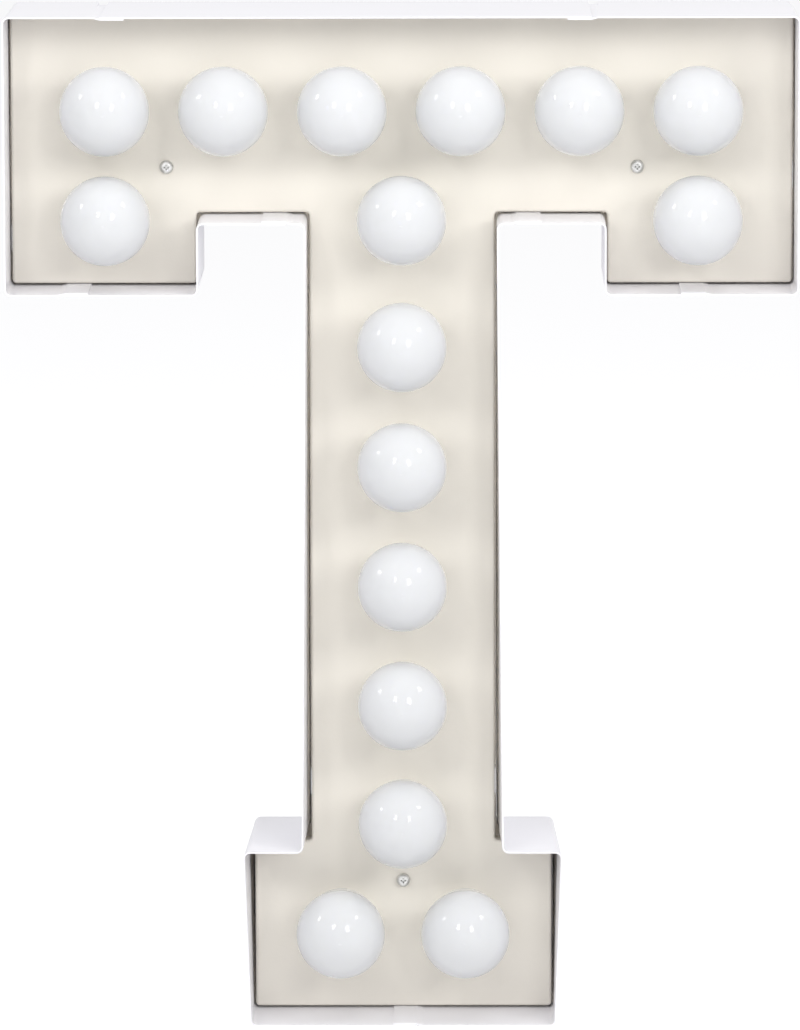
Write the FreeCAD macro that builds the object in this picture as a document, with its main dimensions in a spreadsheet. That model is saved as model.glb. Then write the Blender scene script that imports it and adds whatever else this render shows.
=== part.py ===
import FreeCAD, Part
import math
import os

import Sketcher

# A light-up marquee letter: a slab-serif T of white sheet steel with opal globe bulbs.
# +Z is up, the bulbs face -Y, and the origin is the middle of the face it stands on.

SIZES = [
    # The letter's outline, measured over the outside of its side walls
    ("letter_width", 397.6),
    ("letter_height", 514),
    ("arm_width", 97),
    ("arm_drop", 140),
    ("notch_drop", 104),
    ("stem_width", 97.2),
    ("foot_width", 155.4),
    ("foot_height", 90.4),
    # The side walls, which are bent strips that spread a little towards the front
    ("return_depth", 92),
    ("sheet_thickness", 0.8),
    ("bend_radius", 3.5),
    ("foot_flare", 3.3),
    ("stem_flare", 2.6),
    ("lap_length", 12),
    ("lap_clearance", 0.05),
    ("joggle_run", 3),
    ("joggle_radius", 1.4),
    ("lap_relief", 1.5),
    # How far each lap lies from the stem's wall, from the end of its arm, or past the middle
    ("notch_lap", 21.4),
    ("left_arm_lap", 41.8),
    ("right_arm_lap", 58.8),
    ("left_crown_lap", 48.8),
    ("right_crown_lap", 103.8),
    ("foot_lap", 5),
    # The cream face panel, a shallow tray with its edges folded back
    ("panel_inset", 1.9),
    ("panel_flange", 12),
    ("panel_corner", 2),
    ("panel_bend", 1.6),
    # The back pan, a tray that the side walls are fixed round
    ("pan_inset", 6),
    ("pan_flange", 20),
    ("pan_clearance", 0.05),
    ("keyhole_drop", 40),
    ("keyhole_radius", 4.5),
    ("keyhole_slot_radius", 2.25),
    ("keyhole_rise", 10),
    # Where the bulbs and the screws stand: rows above the stem are measured down from the top
    ("side_margin", 50.4),
    ("foot_column", 31.7),
    ("upper_row_drop", 48),
    ("lower_row_drop", 103),
    ("stem_lead", 64),
    ("foot_lead", 57),
    ("foot_row", 46),
    ("screw_row_drop", 79),
    ("foot_screw_drop", 22.4),
    # The bulb, a 45 mm opal globe on a small screw cap
    ("globe_radius", 22.5),
    ("globe_stand", 30),
    ("globe_blend", 8),
    ("neck_radius", 7),
    ("neck_seat_radius", 6.3),
    ("neck_seat_depth", 8),
    ("cap_radius", 6.95),
    ("cap_rim_radius", 7.35),
    ("cap_rim_depth", 1.2),
    ("cap_thread_depth", 18.5),
    ("insulator_depth", 22.6),
    ("insulator_radius", 3.2),
    ("tip_radius", 2.5),
    ("tip_depth", 25.5),
    # The lampholder behind each bulb
    ("skirt_radius", 14.2),
    ("skirt_proud", 4),
    ("skirt_clearance", 0.3),
    ("flange_radius", 17),
    ("flange_thickness", 2.2),
    ("barrel_radius", 13.2),
    ("barrel_depth", 26),
    ("housing_width", 22),
    ("housing_depth", 40),
    ("housing_room", 6.7),
    ("mouth_radius", 10.6),
    ("mouth_depth", 3),
    ("shell_wall", 0.45),
    ("shell_clearance", 0.1),
    ("shell_depth", 22),
    ("contact_room", 4.6),
    ("contact_floor", 31),
    ("contact_width", 3),
    ("contact_thickness", 0.4),
    ("contact_gap", 0.05),
    ("contact_side_gap", 1.2),
    ("ring_radius", 17.7),
    ("ring_height", 4.8),
    ("ring_rim", 1.2),
    ("ring_clearance", 0.05),
    # The screws and the pillars that tie the face panel to the back pan
    ("screw_radius", 1.7),
    ("screw_hole_clearance", 0.05),
    ("screw_length", 11),
    ("head_radius", 3.5),
    ("head_height", 2.4),
    ("recess_reach", 2.1),
    ("recess_width", 0.9),
    ("recess_depth", 1.3),
    ("pillar_across_flats", 7),
    # The spring clips that centre the face panel between the side walls
    ("clip_length", 13.5),
    ("clip_thickness", 0.5),
    ("clip_depth", 9),
    ("clip_clearance", 0.03),
    ("stem_clip_rise", 28.6),
    ("left_clip_drop", 115),
    ("right_clip_drop", 83),
    # The wiring inside
    ("wire_radius", 1),
    ("wire_spread", 4),
    ("wire_depth", 33),
    ("wire_turn", 2.4),
    ("wire_end_gap", 0.8),
    ("feed_lane_gap", 4.4),
    # The mains entry: grommet, terminal block and earth stud
    ("grommet_hole", 7),
    ("grommet_bore", 3.5),
    ("grommet_lip", 2.4),
    ("grommet_lip_height", 2.2),
    ("block_offset", 31),
    ("block_width", 15),
    ("block_height", 30),
    ("block_depth", 13),
    ("block_wire_rise", 9.75),
    ("block_screw_radius", 1.6),
    ("block_screw_sink", 2),
    ("earth_offset", 31),
    ("earth_radius", 2),
    ("earth_length", 11),
    ("earth_nut_across_flats", 7),
    ("earth_nut_height", 3.2),
    ("lug_ring_radius", 4.6),
    ("lug_thickness", 0.8),
    ("lug_barrel_radius", 1.9),
    ("lug_barrel_start", 4.3),
    ("lug_barrel_length", 6.5),
    ("earth_drop", 7),
]

# A pan head's outline from its flat top outwards, as shares of its radius and its height
PAN_HEAD = [(0.55, 1), (0.88, 0.72), (1, 0.25)]
# How far a cutting box runs past the metal that it cuts
OVERRUN = 1

doc = FreeCAD.newDocument("LightUpLetter")
sizes = doc.addObject("Spreadsheet::Sheet", "Sizes")
for line, (alias, number) in enumerate(SIZES, 1):
    sizes.set(f"A{line}", alias.replace("_", " "))
    sizes.set(f"B{line}", str(number))
    sizes.setAlias(f"B{line}", alias)
doc.recompute()

# Places that several pieces share, as formulas on the sheet
PAN_BACK = "(Sizes.return_depth / 2 - Sizes.pan_inset)"
PAN_FRONT = f"({PAN_BACK} - Sizes.sheet_thickness)"
PAN_EDGE = f"({PAN_BACK} - Sizes.pan_flange)"
PAN_OUTLINE = "(Sizes.sheet_thickness + Sizes.pan_clearance)"
PANEL_FRONT = f"({PAN_FRONT} - Sizes.housing_room - Sizes.housing_depth)"
PANEL_BACK = f"({PANEL_FRONT} + Sizes.sheet_thickness)"
SHELL_BORE = "(Sizes.cap_radius + Sizes.shell_clearance)"
SHELL_OUTSIDE = f"({SHELL_BORE} + Sizes.shell_wall)"
SCREW_HOLE = "(Sizes.screw_radius + Sizes.screw_hole_clearance)"
LUG_AXIS = "(Sizes.lug_barrel_radius + Sizes.lug_thickness / 4)"

# The upper row's six bulbs stand evenly between the outer two, and each upper screw stands
# midway between two of them, with a keyhole above it
OUTER_COLUMN = "(Sizes.letter_width / 2 - Sizes.side_margin)"
SCREW_COLUMN = f"({OUTER_COLUMN} * 4 / 5)"
UPPER_ROW = "(Sizes.letter_height - Sizes.upper_row_drop)"
LOWER_ROW = "(Sizes.letter_height - Sizes.lower_row_drop)"
SCREW_ROW = "(Sizes.letter_height - Sizes.screw_row_drop)"
KEYHOLE_ROW = "(Sizes.letter_height - Sizes.keyhole_drop)"
KEYHOLES = [(f"-{SCREW_COLUMN}", KEYHOLE_ROW), (SCREW_COLUMN, KEYHOLE_ROW)]

# The stem's five bulbs stand evenly between a lead below the lower row and one above the foot
STEM_TOP = f"({LOWER_ROW} - Sizes.stem_lead)"
STEM_PITCH = f"(({STEM_TOP} - Sizes.foot_row - Sizes.foot_lead) / 4)"
STEM_ROWS = [f"({STEM_TOP} - {step} * {STEM_PITCH})" for step in range(5)]
# The terminal block feeds the third of them, and the mains come in midway to the fourth
FED_ROW = STEM_ROWS[2]
ENTRY_ROW = f"({FED_ROW} - {STEM_PITCH} / 2)"

UPPER_BULBS = [
    (f"({OUTER_COLUMN} * {step} / 5)", UPPER_ROW) for step in (-5, -3, -1, 1, 3, 5)
]
LOWER_BULBS = [(f"-{OUTER_COLUMN}", LOWER_ROW), ("0", LOWER_ROW), (OUTER_COLUMN, LOWER_ROW)]
STEM_BULBS = [("0", row) for row in STEM_ROWS]
FOOT_BULBS = [(f"{side}Sizes.foot_column", "Sizes.foot_row") for side in ("-", "")]
BULBS = UPPER_BULBS + LOWER_BULBS + STEM_BULBS + FOOT_BULBS
SCREWS = [
    (f"-{SCREW_COLUMN}", SCREW_ROW),
    (SCREW_COLUMN, SCREW_ROW),
    ("0", "(Sizes.foot_height - Sizes.foot_screw_drop)"),
]
# The runs of bulbs that the wires follow from holder to holder
WIRE_RUNS = [
    UPPER_BULBS,
    [UPPER_BULBS[0], LOWER_BULBS[0]],
    [UPPER_BULBS[-1], LOWER_BULBS[-1]],
    [UPPER_BULBS[3], LOWER_BULBS[1]] + STEM_BULBS + FOOT_BULBS,
]

NODES = []


def value_of(formula):
    """The number that a formula on the sheet gives."""
    return float(sizes.evalExpression(str(formula)))


def size(alias):
    """The number in one cell of the sheet."""
    return float(sizes.get(alias))


def vector(x, y, z=0.0):
    return FreeCAD.Vector(x, y, z)


def keep(piece, name):
    """Names a finished piece, so that it is checked and written out."""
    piece.Label = name
    NODES.append(piece)
    return piece


def place(piece, x="0", y="0", z="0"):
    """Binds where a piece stands to formulas on the sheet."""
    for axis, formula in (("x", x), ("y", y), ("z", z)):
        piece.setExpression(f"Placement.Base.{axis}", str(formula))


# Sketches

def sketch_on(body, name, role, depth=None):
    """An empty sketch on one of a body's own origin planes, moved along its normal."""
    sketch = body.newObject("Sketcher::SketchObject", name)
    plane = [each for each in body.Origin.OriginFeatures if each.Role == role][0]
    sketch.AttachmentSupport = [(plane, "")]
    sketch.MapMode = "FlatFace"
    if depth is not None:
        sketch.setExpression("AttachmentOffset.Base.z", depth)
    return sketch


def bind(sketch, kind, geometry, point, formula):
    """Dimensions a sketch point from the sketch's origin by a formula."""
    number = value_of(formula)
    index = sketch.addConstraint(Sketcher.Constraint(kind, -1, 1, geometry, point, number))
    sketch.setExpression(f"Constraints[{index}]", formula)


def polygon(sketch, corners):
    """Draws a closed outline through corners given as pairs of formulas."""
    points = [vector(value_of(x), value_of(y)) for x, y in corners]
    count = len(points)
    first = sketch.GeometryCount
    for i in range(count):
        sketch.addGeometry(Part.LineSegment(points[i], points[(i + 1) % count]), False)
    for i in range(count):
        following = first + (i + 1) % count
        sketch.addConstraint(Sketcher.Constraint("Coincident", first + i, 2, following, 1))
    for i, (x, y) in enumerate(corners):
        bind(sketch, "DistanceX", first + i, 1, x)
        bind(sketch, "DistanceY", first + i, 1, y)


def circle(sketch, x, y, radius):
    """Draws a circle whose centre and radius are formulas."""
    middle = vector(value_of(x), value_of(y))
    shape = Part.Circle(middle, vector(0, 0, 1), value_of(radius))
    index = sketch.addGeometry(shape, False)
    bind(sketch, "DistanceX", index, 3, x)
    bind(sketch, "DistanceY", index, 3, y)
    limit = sketch.addConstraint(Sketcher.Constraint("Radius", index, value_of(radius)))
    sketch.setExpression(f"Constraints[{limit}]", radius)


def letter_corners(inset):
    """The T's corners, counted round it, moved inwards by an inset."""
    foot = f"(Sizes.foot_width / 2 - {inset})"
    foot_top = f"(Sizes.foot_height - {inset})"
    stem = f"(Sizes.stem_width / 2 - {inset})"
    notch = f"(Sizes.letter_height - Sizes.notch_drop + {inset})"
    arm = f"(Sizes.letter_width / 2 - Sizes.arm_width + {inset})"
    arm_end = f"(Sizes.letter_height - Sizes.arm_drop + {inset})"
    side = f"(Sizes.letter_width / 2 - {inset})"
    top = f"(Sizes.letter_height - {inset})"
    right = [(foot, inset), (foot, foot_top), (stem, foot_top), (stem, notch)]
    right += [(arm, notch), (arm, arm_end), (side, arm_end), (side, top)]
    return right + [(f"-{x}", y) for x, y in reversed(right)]


def reflex_corners():
    """The numbers of the T's corners where its outline turns inwards."""
    points = [vector(value_of(x), value_of(z)) for x, z in letter_corners("0")]
    ahead = points[1:] + points[:1]
    return [
        number for number, point in enumerate(points)
        if (point - points[number - 1]).cross(ahead[number] - point).z < 0
    ]


def add_feature(body, kind, name, sketch):
    """A feature of the given kind made from a sketch of the same body."""
    feature = body.newObject(f"PartDesign::{kind}", name)
    feature.Profile = sketch
    sketch.Visibility = False
    return feature


def pad(body, name, sketch, length, backwards=True):
    """Thickens a sketch along Y; backwards is towards the back of the letter."""
    feature = add_feature(body, "Pad", name, sketch)
    feature.setExpression("Length", length)
    feature.Reversed = backwards
    return feature


def pocket(body, name, sketch, length, backwards=True):
    """Cuts a sketch out of a body along Y, and checks that something was cut."""
    doc.recompute()
    before = body.Shape.Volume
    feature = add_feature(body, "Pocket", name, sketch)
    feature.setExpression("Length", length)
    feature.Reversed = not backwards
    doc.recompute()
    if body.Shape.Volume > before - 1e-6:
        raise RuntimeError(f"{name} cut nothing")
    return feature


def revolve(body, name, sketch, kind="Revolution"):
    """Turns a sketch on the XY plane about the Y axis."""
    feature = add_feature(body, kind, name, sketch)
    feature.ReferenceAxis = (sketch, ["V_Axis"])
    feature.Angle = 360
    return feature


def turned(name, corners):
    """A body turned about its own Y axis from one closed profile."""
    body = doc.addObject("PartDesign::Body", name)
    sketch = sketch_on(body, f"{name}_profile", "XY_Plane")
    polygon(sketch, corners)
    revolve(body, f"{name}_turning", sketch)
    return body


def group(name, piece, places, depth="0"):
    """One node of equal solids: a piece repeated at pairs of formulas for x and z."""
    links = []
    for count, (x, z) in enumerate(places, 1):
        link = doc.addObject("App::Link", f"{name}_{count}")
        link.LinkedObject = piece
        place(link, x, depth, z)
        links.append(link)
    gathered = doc.addObject("Part::Compound", name)
    gathered.Links = links
    return keep(gathered, name)


# Sheet metal

def edges_along_y(shape):
    """Edges that run straight along Y, with the x and z that they stand at."""
    found = []
    for number, edge in enumerate(shape.Edges, 1):
        box = edge.BoundBox
        if box.YLength > 1e-3 and box.XLength < 1e-3 and box.ZLength < 1e-3:
            found.append((f"Edge{number}", box.Center.x, box.Center.z))
    return found


def round_corners(body, name, base, inset, numbers, radius):
    """Rounds the corners of a T-shaped tray that have the given numbers."""
    doc.recompute()
    corners = letter_corners(inset)
    wanted = [(value_of(corners[n][0]), value_of(corners[n][1])) for n in numbers]
    picked = []
    for edge, x, z in edges_along_y(base.Shape):
        if any(abs(x - a) < 0.01 and abs(z - b) < 0.01 for a, b in wanted):
            picked.append(edge)
    feature = body.newObject("PartDesign::Fillet", name)
    feature.Base = (base, picked)
    feature.setExpression("Radius", radius)
    doc.recompute()
    return feature


def make_face_panel():
    """The cream tray that carries the lampholders, its edges folded back all round."""
    body = doc.addObject("PartDesign::Body", "face_panel")
    outline = sketch_on(body, "panel_outline", "XZ_Plane", f"-{PANEL_FRONT}")
    polygon(outline, letter_corners("Sizes.panel_inset"))
    block = pad(body, "panel_block", outline, "Sizes.panel_flange")
    corners = range(16)
    rounded = round_corners(
        body, "panel_corners", block, "Sizes.panel_inset", corners, "Sizes.panel_corner"
    )
    front = value_of(PANEL_FRONT)
    rim = []
    for number, edge in enumerate(rounded.Shape.Edges, 1):
        if abs(edge.BoundBox.YMin - front) < 1e-3 and edge.BoundBox.YLength < 1e-3:
            rim.append(f"Edge{number}")
    bend = body.newObject("PartDesign::Fillet", "panel_bend_line")
    bend.Base = (rounded, rim)
    bend.setExpression("Radius", "Sizes.panel_bend")
    doc.recompute()
    back = front + size("panel_flange")
    open_face = [
        f"Face{number}"
        for number, face in enumerate(bend.Shape.Faces, 1)
        if face.BoundBox.YMin > back - 1e-3
    ]
    hollow = body.newObject("PartDesign::Thickness", "panel_tray")
    hollow.Base = (bend, open_face)
    hollow.Reversed = True
    hollow.setExpression("Value", "Sizes.sheet_thickness")
    doc.recompute()
    holes = sketch_on(body, "panel_holes", "XZ_Plane", f"-{PANEL_FRONT}")
    for x, z in BULBS:
        circle(holes, x, z, "Sizes.skirt_radius + Sizes.skirt_clearance")
    for x, z in SCREWS:
        circle(holes, x, z, f"{SCREW_HOLE} + Sizes.skirt_clearance")
    pocket(body, "panel_piercing", holes, "Sizes.panel_bend + Sizes.sheet_thickness")
    keep(body, "face_panel")


def make_back_pan():
    """The white tray at the back that the side walls are welded round."""
    body = doc.addObject("PartDesign::Body", "back_pan")
    outline = sketch_on(body, "pan_outline", "XZ_Plane", f"-{PAN_EDGE}")
    polygon(outline, letter_corners(PAN_OUTLINE))
    block = pad(body, "pan_block", outline, "Sizes.pan_flange")
    reflex = reflex_corners()
    outer = [n for n in range(16) if n not in reflex]
    outside = round_corners(
        body, "pan_outer_corners", block, PAN_OUTLINE, outer,
        f"Sizes.bend_radius - {PAN_OUTLINE}",
    )
    inside = round_corners(
        body, "pan_inner_corners", outside, PAN_OUTLINE, reflex,
        "Sizes.bend_radius + Sizes.pan_clearance",
    )
    edge = value_of(PAN_EDGE)
    open_face = [
        f"Face{number}"
        for number, face in enumerate(inside.Shape.Faces, 1)
        if face.BoundBox.YMax < edge + 1e-3
    ]
    hollow = body.newObject("PartDesign::Thickness", "pan_tray")
    hollow.Base = (inside, open_face)
    hollow.Reversed = True
    hollow.setExpression("Value", "Sizes.sheet_thickness")
    doc.recompute()
    holes = sketch_on(body, "pan_holes", "XZ_Plane", f"-{PAN_BACK}")
    for x, z in SCREWS:
        circle(holes, x, z, SCREW_HOLE)
    circle(holes, "0", ENTRY_ROW, "Sizes.grommet_hole")
    circle(holes, "-Sizes.earth_offset", ENTRY_ROW, "Sizes.earth_radius")
    for x, z in KEYHOLES:
        circle(holes, x, z, "Sizes.keyhole_radius")
    pocket(body, "pan_piercing", holes, "Sizes.sheet_thickness", False)
    slots = sketch_on(body, "keyhole_slots", "XZ_Plane", f"-{PAN_BACK}")
    for x, z in KEYHOLES:
        slot(slots, x, z)
    pocket(body, "pan_slotting", slots, "Sizes.sheet_thickness", False)
    keep(body, "back_pan")


def slot(sketch, x, z):
    """The narrow upper part of a keyhole, with a round top end."""
    middle = value_of(x)
    bottom = value_of(z)
    top = bottom + size("keyhole_rise")
    radius = size("keyhole_slot_radius")
    low_left = vector(middle - radius, bottom)
    low_right = vector(middle + radius, bottom)
    high_left = vector(middle - radius, top)
    high_right = vector(middle + radius, top)
    arch = Part.ArcOfCircle(Part.Circle(vector(middle, top), vector(0, 0, 1), radius), 0, math.pi)
    base = sketch.addGeometry(Part.LineSegment(low_left, low_right), False)
    right = sketch.addGeometry(Part.LineSegment(low_right, high_right), False)
    end = sketch.addGeometry(arch, False)
    left = sketch.addGeometry(Part.LineSegment(high_left, low_left), False)
    sketch.addConstraint(Sketcher.Constraint("Coincident", base, 2, right, 1))
    sketch.addConstraint(Sketcher.Constraint("Tangent", right, 2, end, 1))
    sketch.addConstraint(Sketcher.Constraint("Tangent", end, 2, left, 1))
    sketch.addConstraint(Sketcher.Constraint("Coincident", left, 2, base, 1))
    sketch.addConstraint(Sketcher.Constraint("Horizontal", base))
    sketch.addConstraint(Sketcher.Constraint("Vertical", right))
    bind(sketch, "DistanceX", end, 3, x)
    bind(sketch, "DistanceY", end, 3, f"{z} + Sizes.keyhole_rise")
    bind(sketch, "DistanceY", base, 1, z)
    limit = sketch.addConstraint(Sketcher.Constraint("Radius", end, radius))
    sketch.setExpression(f"Constraints[{limit}]", "Sizes.keyhole_slot_radius")


# The side walls

def unit(start, end):
    """The direction from one point to the next, in the plane of the outline."""
    run = math.hypot(end[0] - start[0], end[1] - start[1])
    return ((end[0] - start[0]) / run, (end[1] - start[1]) / run)


def left_of(direction):
    return (-direction[1], direction[0])


def offset_edges(path, radii, offset, y):
    """Lines and tangent arcs beside a path, at one depth; left of it is positive."""
    edges = []
    count = len(path)
    start = None
    for i in range(count):
        before = unit(path[i - 1], path[i]) if i else unit(path[0], path[1])
        after = unit(path[i], path[i + 1]) if i < count - 1 else before
        if i in (0, count - 1):
            side = left_of(before)
            end = vector(path[i][0] + side[0] * offset, y, path[i][1] + side[1] * offset)
            if start is not None:
                edges.append(Part.makeLine(start, end))
            start = end
            continue
        cross = before[0] * after[1] - before[1] * after[0]
        turn = math.copysign(1, cross)
        angle = math.atan2(abs(cross), before[0] * after[0] + before[1] * after[1])
        back = radii[i] * math.tan(angle / 2)
        first, last = left_of(before), left_of(after)
        length = math.hypot(first[0] + last[0], first[1] + last[1])
        middle = ((first[0] + last[0]) / length, (first[1] + last[1]) / length)
        centre_x = path[i][0] - before[0] * back + turn * radii[i] * first[0]
        centre_z = path[i][1] - before[1] * back + turn * radii[i] * first[1]
        reach = turn * radii[i] - offset
        points = [
            vector(centre_x - reach * d[0], y, centre_z - reach * d[1])
            for d in (first, middle, last)
        ]
        edges.append(Part.makeLine(start, points[0]))
        edges.append(Part.Arc(*points).toShape())
        start = points[2]
    return edges


def strip_outline(path, radii, y):
    """The closed outline of a bent strip of sheet, at one depth."""
    half = size("sheet_thickness") / 2
    inner = offset_edges(path, radii, half, y)
    outer = offset_edges(path, radii, -half, y)
    begin = Part.makeLine(outer[0].firstVertex().Point, inner[0].firstVertex().Point)
    finish = Part.makeLine(inner[-1].lastVertex().Point, outer[-1].lastVertex().Point)
    return Part.Wire(Part.__sortEdges__(inner + [finish] + outer + [begin]))


def wall_corners(spread):
    """Corners of the side walls' middle surface; spread is 0 at the back and 1 in front."""
    corners = [
        (value_of(x), value_of(z)) for x, z in letter_corners("(Sizes.sheet_thickness / 2)")
    ]
    foot_flare = size("foot_flare") * spread
    stem_flare = size("stem_flare") * spread
    moves = {1: foot_flare, 14: -foot_flare, 2: stem_flare, 13: -stem_flare}
    return [(x + moves.get(n, 0), z) for n, (x, z) in enumerate(corners)]


def joggled(path, radii, lap_x, towards):
    """Ends a strip in a tongue that steps one sheet inwards and laps on its neighbour.

    The last point of the path gives the height of the wall that the tongue lies on, lap_x
    is where the tongue ends, and towards is +1 where the strip runs to +x there. The
    letter's inside is above a wall at the bottom of it and below the wall at its top.
    """
    step = size("sheet_thickness") + size("lap_clearance")
    z = path[-1][1]
    if z > size("letter_height") - size("notch_drop") / 2:
        step = -step
    start = lap_x - towards * (size("lap_length") + size("joggle_run"))
    finish = lap_x - towards * size("lap_length")
    path = path[:-1] + [(start, z), (finish, z + step), (lap_x, z + step)]
    joggle = size("joggle_radius")
    return path, radii + [joggle, joggle]


def make_return(name, corner_numbers, first, last):
    """One side wall strip between two ends.

    Each end is (x, lapped): lapped ends carry the joggled tongue, and the others are plain.
    """
    radius = size("bend_radius") - size("sheet_thickness") / 2
    outlines = []
    for spread, y in ((0, size("return_depth") / 2), (1, -size("return_depth") / 2)):
        corners = wall_corners(spread)
        run = [corners[n] for n in corner_numbers]
        radii = [radius] * len(run)
        heights = (run[0][1], run[-1][1])
        path = run + [(last[0], heights[1])]
        if last[1]:
            towards = math.copysign(1, last[0] - run[-1][0])
            path, radii = joggled(path, radii, last[0], towards)
        path = [(first[0], heights[0])] + path
        radii = [0] + radii
        if first[1]:
            towards = math.copysign(1, first[0] - run[0][0])
            turned_path, turned_radii = joggled(
                path[::-1], radii[:0:-1], first[0], towards
            )
            path = turned_path[::-1]
            radii = [0] + turned_radii[::-1]
        outlines.append(strip_outline(path, radii + [0], y))
    wall = with_flat_faces(Part.makeLoft(outlines, True, True))
    for x, lapped in (first, last):
        if lapped:
            wall = wall.cut(tongue_relief(x, corner_numbers, (first, last)))
    piece = doc.addObject("Part::Feature", name)
    piece.Shape = wall.Solids[0] if wall.Solids else wall
    piece.Placement = FreeCAD.Placement()
    return keep(piece, name)


def with_flat_faces(wall):
    """The same strip with a true plane for each lofted face that is flat, such as the foot's."""
    faces = []
    for face in wall.Faces:
        if isinstance(face.Surface, Part.BSplineSurface) and face.findPlane():
            corners = [vertex.Point for vertex in face.OuterWire.OrderedVertexes]
            face = Part.Face(Part.makePolygon(corners + corners[:1]))
        faces.append(face)
    shell = Part.makeShell(faces)
    shell.sewShape()
    return Part.makeSolid(shell)


def tongue_relief(x, corner_numbers, ends):
    """The room that a tongue leaves behind it for the back pan's flange."""
    corners = wall_corners(0)
    near = corners[corner_numbers[0] if x == ends[0][0] else corner_numbers[-1]]
    away = math.copysign(1, near[0] - x)
    reach = size("lap_length") + size("joggle_run") + size("joggle_radius")
    low_x = min(x - away * OVERRUN, x + away * reach)
    front = value_of(PAN_EDGE) - size("lap_relief")
    deep = size("return_depth") / 2 - front + OVERRUN
    step = size("sheet_thickness") + size("lap_clearance")
    tall = 2 * (step + size("sheet_thickness"))
    return Part.makeBox(reach + OVERRUN, deep, 2 * tall, vector(low_x, front, near[1] - tall))


def make_top():
    """The flat strip along the letter's top, which lies over the two crown strips' tongues."""
    strip = doc.addObject("Part::Box", "return_top")
    both_laps = "(Sizes.left_crown_lap + Sizes.right_crown_lap)"
    strip.setExpression("Length", f"Sizes.letter_width - {both_laps}")
    strip.setExpression("Width", "Sizes.return_depth")
    strip.setExpression("Height", "Sizes.sheet_thickness")
    place(
        strip, "Sizes.left_crown_lap - Sizes.letter_width / 2", "-Sizes.return_depth / 2",
        "Sizes.letter_height - Sizes.sheet_thickness",
    )
    keep(strip, "return_top")


def make_returns():
    """The seven strips that make the letter's side walls, each lapped on the next."""
    lap, foot = size("lap_length"), size("foot_lap")
    notch = size("stem_width") / 2 + size("notch_lap")
    end = size("letter_width") / 2
    left_crown, right_crown = end - size("left_crown_lap"), end - size("right_crown_lap")
    left_arm, right_arm = end - size("left_arm_lap"), end - size("right_arm_lap")
    make_return("return_right_stem", [3, 2, 1, 0], (notch, True), (-foot, True))
    make_return("return_left_stem", [12, 13, 14, 15], (-notch, True), (lap - foot, False))
    make_return("return_right_arm", [5, 4], (right_arm + lap, False), (notch - lap, False))
    make_return("return_left_arm", [10, 11], (-left_arm - lap, False), (lap - notch, False))
    make_return("return_right_crown", [6, 7], (right_arm, True), (right_crown - lap, True))
    make_return("return_left_crown", [9, 8], (-left_arm, True), (lap - left_crown, True))
    make_top()


# Bulbs

def globe_profile(sketch):
    """Half of the globe's section: a round, a hollow blend and a straight neck."""
    round_radius, stand = size("globe_radius"), size("globe_stand")
    blend, neck = size("globe_blend"), size("neck_radius")
    seat, depth = size("neck_seat_radius"), size("neck_seat_depth")
    centre_x = neck + blend
    centre_y = math.sqrt((round_radius + blend) ** 2 - centre_x**2) - stand
    share = round_radius / (round_radius + blend)
    meet = vector(centre_x * share, (centre_y + stand) * share - stand)
    meet_angle = math.atan2(meet.y + stand, meet.x)
    axis = vector(0, 0, 1)
    globe = Part.ArcOfCircle(
        Part.Circle(vector(0, -stand), axis, round_radius), -math.pi / 2, meet_angle
    )
    hollow = Part.ArcOfCircle(
        Part.Circle(vector(centre_x, centre_y), axis, blend), math.pi, math.pi + meet_angle
    )
    a = sketch.addGeometry(globe, False)
    b = sketch.addGeometry(hollow, False)
    points = [
        vector(neck, centre_y), vector(neck, 0), vector(seat, 0),
        vector(seat, depth), vector(0, depth), vector(0, -stand - round_radius),
    ]
    lines = [
        sketch.addGeometry(Part.LineSegment(start, end), False)
        for start, end in zip(points, points[1:])
    ]
    for one, following in zip(lines, lines[1:]):
        sketch.addConstraint(Sketcher.Constraint("Coincident", one, 2, following, 1))
    sketch.addConstraint(Sketcher.Constraint("Coincident", lines[-1], 2, a, 1))
    sketch.addConstraint(Sketcher.Constraint("Tangent", a, 2, b, 2))
    sketch.addConstraint(Sketcher.Constraint("Tangent", b, 1, lines[0], 1))
    sketch.addConstraint(Sketcher.Constraint("Vertical", lines[0]))
    bind(sketch, "DistanceX", a, 3, "0")
    bind(sketch, "DistanceY", a, 3, "-Sizes.globe_stand")
    bind(sketch, "DistanceX", lines[-1], 2, "0")
    bind(sketch, "DistanceX", lines[0], 2, "Sizes.neck_radius")
    bind(sketch, "DistanceY", lines[0], 2, "0")
    bind(sketch, "DistanceX", lines[1], 2, "Sizes.neck_seat_radius")
    bind(sketch, "DistanceY", lines[1], 2, "0")
    bind(sketch, "DistanceX", lines[2], 2, "Sizes.neck_seat_radius")
    bind(sketch, "DistanceY", lines[2], 2, "Sizes.neck_seat_depth")
    bind(sketch, "DistanceX", lines[3], 2, "0")
    bind(sketch, "DistanceY", lines[3], 2, "Sizes.neck_seat_depth")
    for geometry, alias in ((a, "globe_radius"), (b, "globe_blend")):
        limit = sketch.addConstraint(Sketcher.Constraint("Radius", geometry, size(alias)))
        sketch.setExpression(f"Constraints[{limit}]", f"Sizes.{alias}")


def make_globe(number, x, z):
    """One opal glass globe, blown in one piece with its neck."""
    name = f"globe_{number:02d}"
    body = doc.addObject("PartDesign::Body", name)
    sketch = sketch_on(body, f"{name}_profile", "XY_Plane")
    globe_profile(sketch)
    revolve(body, f"{name}_turning", sketch)
    place(body, x, PANEL_FRONT, z)
    keep(body, name)


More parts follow.
